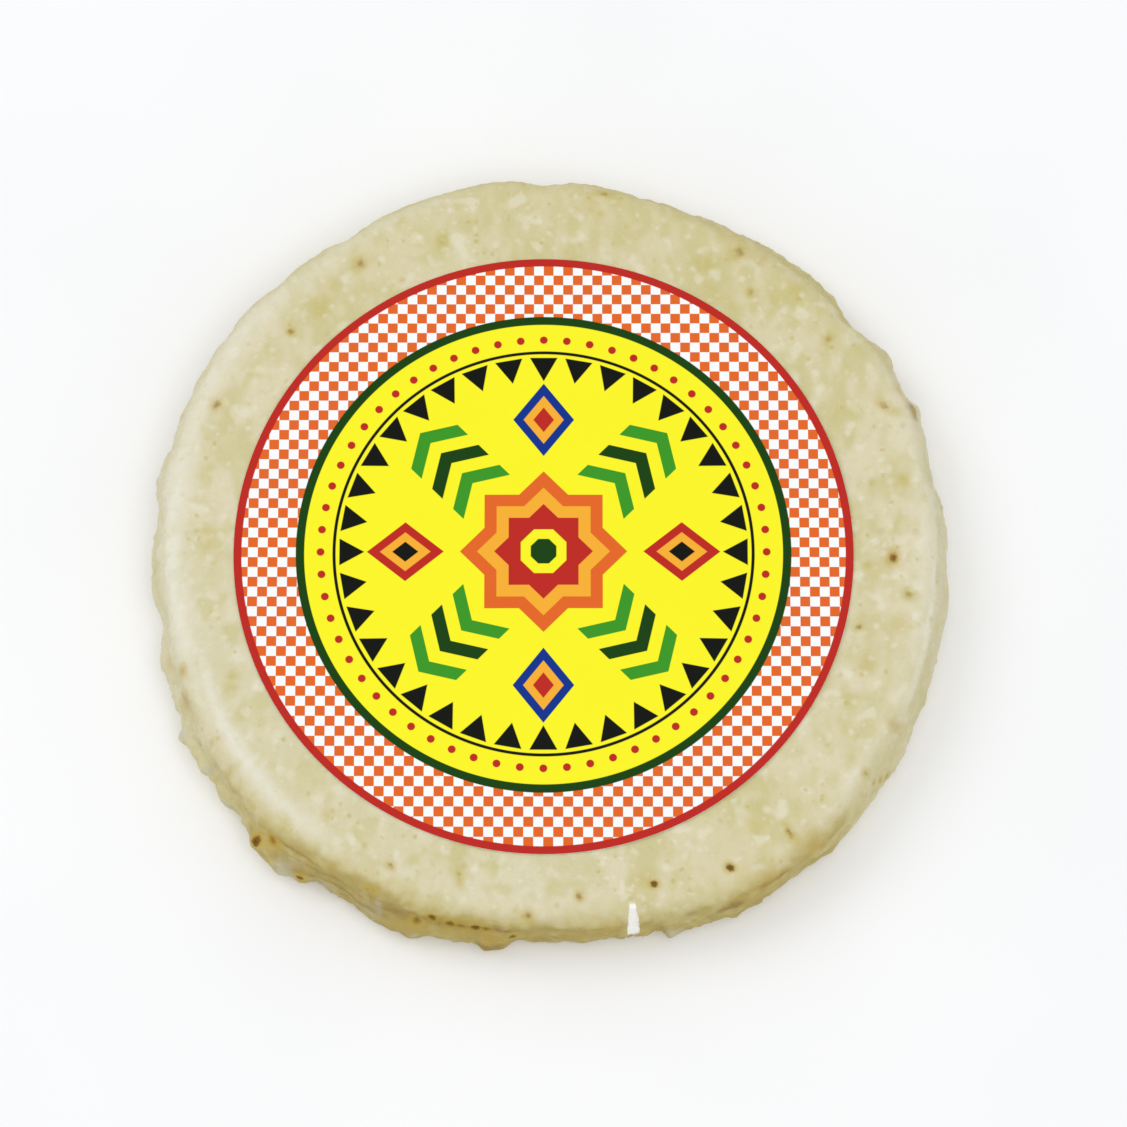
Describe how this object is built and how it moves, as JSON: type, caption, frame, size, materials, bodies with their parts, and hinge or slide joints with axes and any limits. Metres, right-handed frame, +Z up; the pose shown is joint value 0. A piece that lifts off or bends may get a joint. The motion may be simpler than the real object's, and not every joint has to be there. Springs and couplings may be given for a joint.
{
  "type": "arepa corn cake",
  "caption": "Flat round white-corn arepa with an uneven, speckled, toasted edge, and a round printed paper label lying on its top.",
  "frame": {"origin": "middle of the cake's box, on the flat underside that it rests on", "axes": "+Z up, out of the labelled top; -Y towards the split in the edge; +X to the right"},
  "size_m": [0.1124, 0.1124, 0.012],
  "materials": {
    "arepa": "moist matt cream corn dough with olive mottling, pale grits, brown specks and a toasted edge",
    "label": "coated paper printed with a yellow disc, an orange and white check ring, and plain shapes"
  },
  "bodies": {
    "root": {"arepa": "arepa", "label": "label"}
  },
  "joints": []
}
